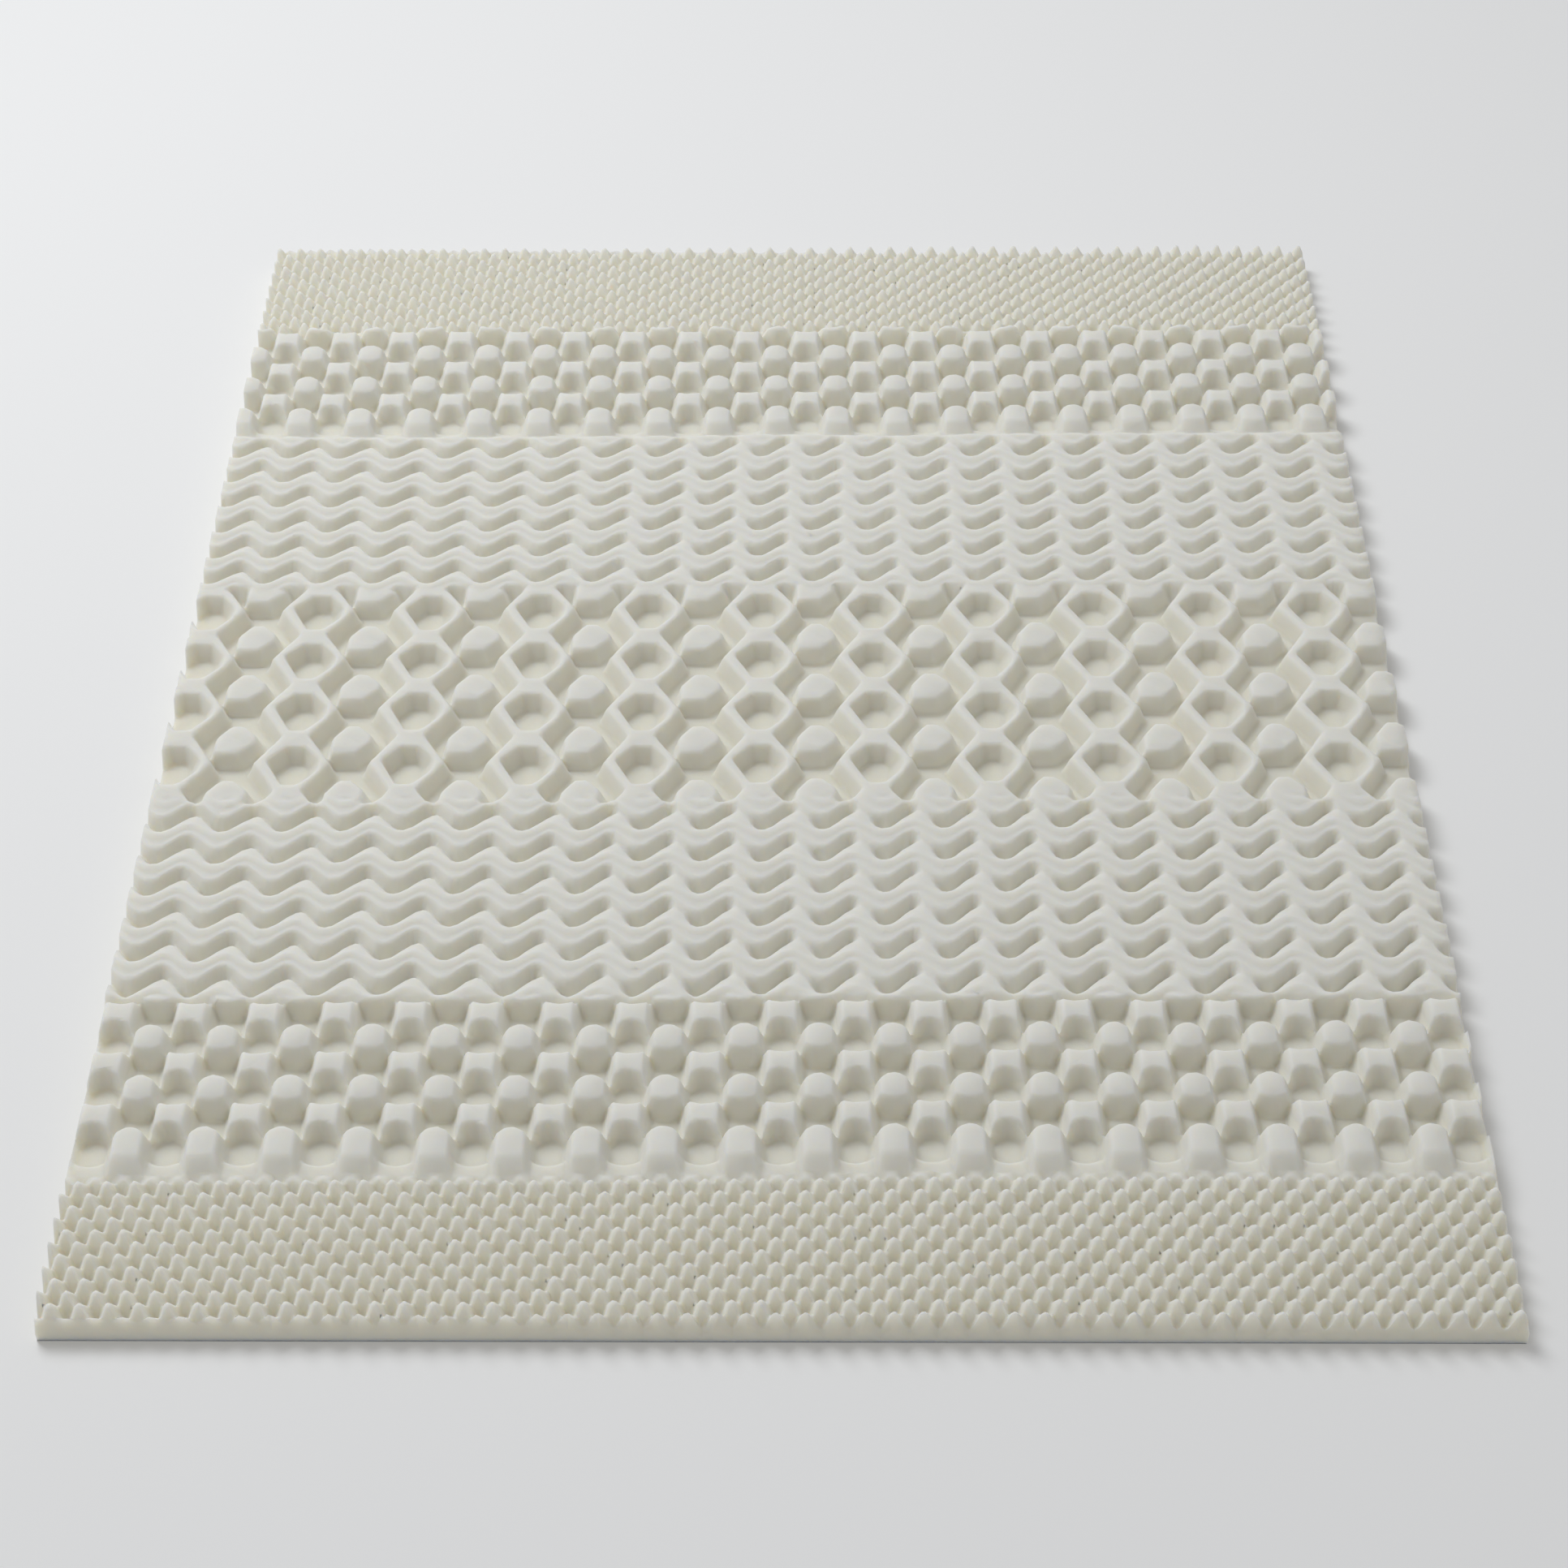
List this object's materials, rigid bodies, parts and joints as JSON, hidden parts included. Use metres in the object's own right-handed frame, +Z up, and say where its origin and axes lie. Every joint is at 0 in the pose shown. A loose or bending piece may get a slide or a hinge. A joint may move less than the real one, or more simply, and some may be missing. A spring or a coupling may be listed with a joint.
{
  "type": "mattress topper",
  "caption": "Flat one-piece foam mattress topper for a queen bed, its top cut in bands of pegs, blocks, winding ridges and rings.",
  "frame": {"origin": "middle of the flat underside, on the surface that the topper lies on", "axes": "+X across the bed, +Y along the bed to the head end, +Z up out of the relief"},
  "size_m": [1.524, 2.032, 0.05],
  "materials": {
    "ivory_foam": "dull ivory polyurethane foam, cut faces, fine open cells"
  },
  "bodies": {
    "root": {"foam_topper": "ivory_foam"}
  },
  "joints": []
}
